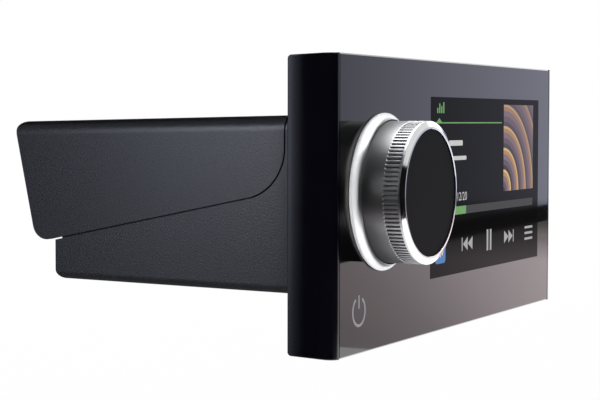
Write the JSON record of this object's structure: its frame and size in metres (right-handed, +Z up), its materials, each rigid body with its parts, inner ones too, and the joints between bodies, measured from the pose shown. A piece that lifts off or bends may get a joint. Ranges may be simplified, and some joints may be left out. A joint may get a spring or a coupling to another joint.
{
  "type": "panel-mount marine stereo",
  "caption": "Panel-mount marine stereo: flat black glass front with a touch display and a large rotary push knob, on a coated chassis that passes through the panel.",
  "frame": {"origin": "centre of the stud pattern, on the plane where the back of the front meets the panel", "axes": "+X to the right as seen from the front, +Y to the back into the panel, +Z up"},
  "size_m": [0.18, 0.1255, 0.084],
  "materials": {
    "cover_glass": "polished, painted black behind",
    "trim_plastic": "moulded, satin gloss",
    "housing_plastic": "moulded",
    "display_glass": "flat, dark when unlit",
    "backlight_plastic": "white diffuser",
    "plated_steel": "zinc plated",
    "board_laminate": "green solder mask",
    "brass": "turned",
    "seal_rubber": "moulded",
    "satin_aluminium": "turned, satin anodised",
    "polished_aluminium": "diamond cut",
    "cap_plastic": "fine satin",
    "coated_casting": "cast, charcoal powder coat",
    "coated_steel": "black coat",
    "socket_plastic": "moulded",
    "connector_plastic": "moulded",
    "chip_epoxy": "moulded",
    "ferrite": "pressed",
    "can_aluminium": "sleeved",
    "cable_film": "flat film"
  },
  "bodies": {
    "unit": {"front_glass": "cover_glass", "left_trim": "trim_plastic", "right_trim": "trim_plastic", "front_housing": "housing_plastic", "glass_carrier": "housing_plastic", "touch_sensor": "display_glass", "display_panel": "display_glass", "display_backlight": "backlight_plastic", "display_frame": "plated_steel", "display_connector": "connector_plastic", "front_board": "board_laminate", "front_board_screws": "plated_steel", "carrier_screws": "plated_steel", "stud_inserts": "brass", "panel_gasket": "seal_rubber", "power_key_pad": "seal_rubber", "encoder_body": "plated_steel", "encoder_bush": "brass", "encoder_nut": "plated_steel", "encoder_washer": "plated_steel", "bush_seal": "seal_rubber", "knob_base_ring": "polished_aluminium", "push_switch": "chip_epoxy", "upper_cover": "coated_casting", "lower_tray": "coated_casting", "rear_panel": "coated_steel", "rear_panel_screws": "plated_steel", "cover_screws": "plated_steel", "chassis_screws": "plated_steel", "main_board": "board_laminate", "main_board_screws": "plated_steel", "amp_chip": "chip_epoxy", "amp_clamp": "plated_steel", "clamp_screws": "plated_steel", "filter_capacitors": "can_aluminium", "filter_inductors": "ferrite", "tuner_module": "plated_steel", "wireless_module": "plated_steel", "processor_shield": "plated_steel", "ribbon_sockets": "connector_plastic", "main_ribbon": "cable_film", "power_socket": "socket_plastic", "line_socket": "socket_plastic", "network_socket": "socket_plastic", "bus_socket": "socket_plastic", "aerial_socket": "plated_steel"},
    "rotor": {"encoder_rotor": "connector_plastic"},
    "knob": {"encoder_shaft": "plated_steel", "knob_insert": "housing_plastic", "knob_shell": "satin_aluminium", "knob_bevel_ring": "polished_aluminium", "knob_cap": "cap_plastic", "switch_plunger": "connector_plastic"}
  },
  "joints": [
    {"name": "knob_turn", "type": "hinge", "parent": "unit", "child": "rotor", "pos_m": [-0.058, -0.0146, 0.003], "axis": [0, 1, 0], "continuous": true},
    {"name": "knob_press", "type": "slide", "parent": "rotor", "child": "knob", "axis": [0, 1, 0], "range_m": [0, 0.0006], "stiffness_N_per_m": 6000}
  ]
}
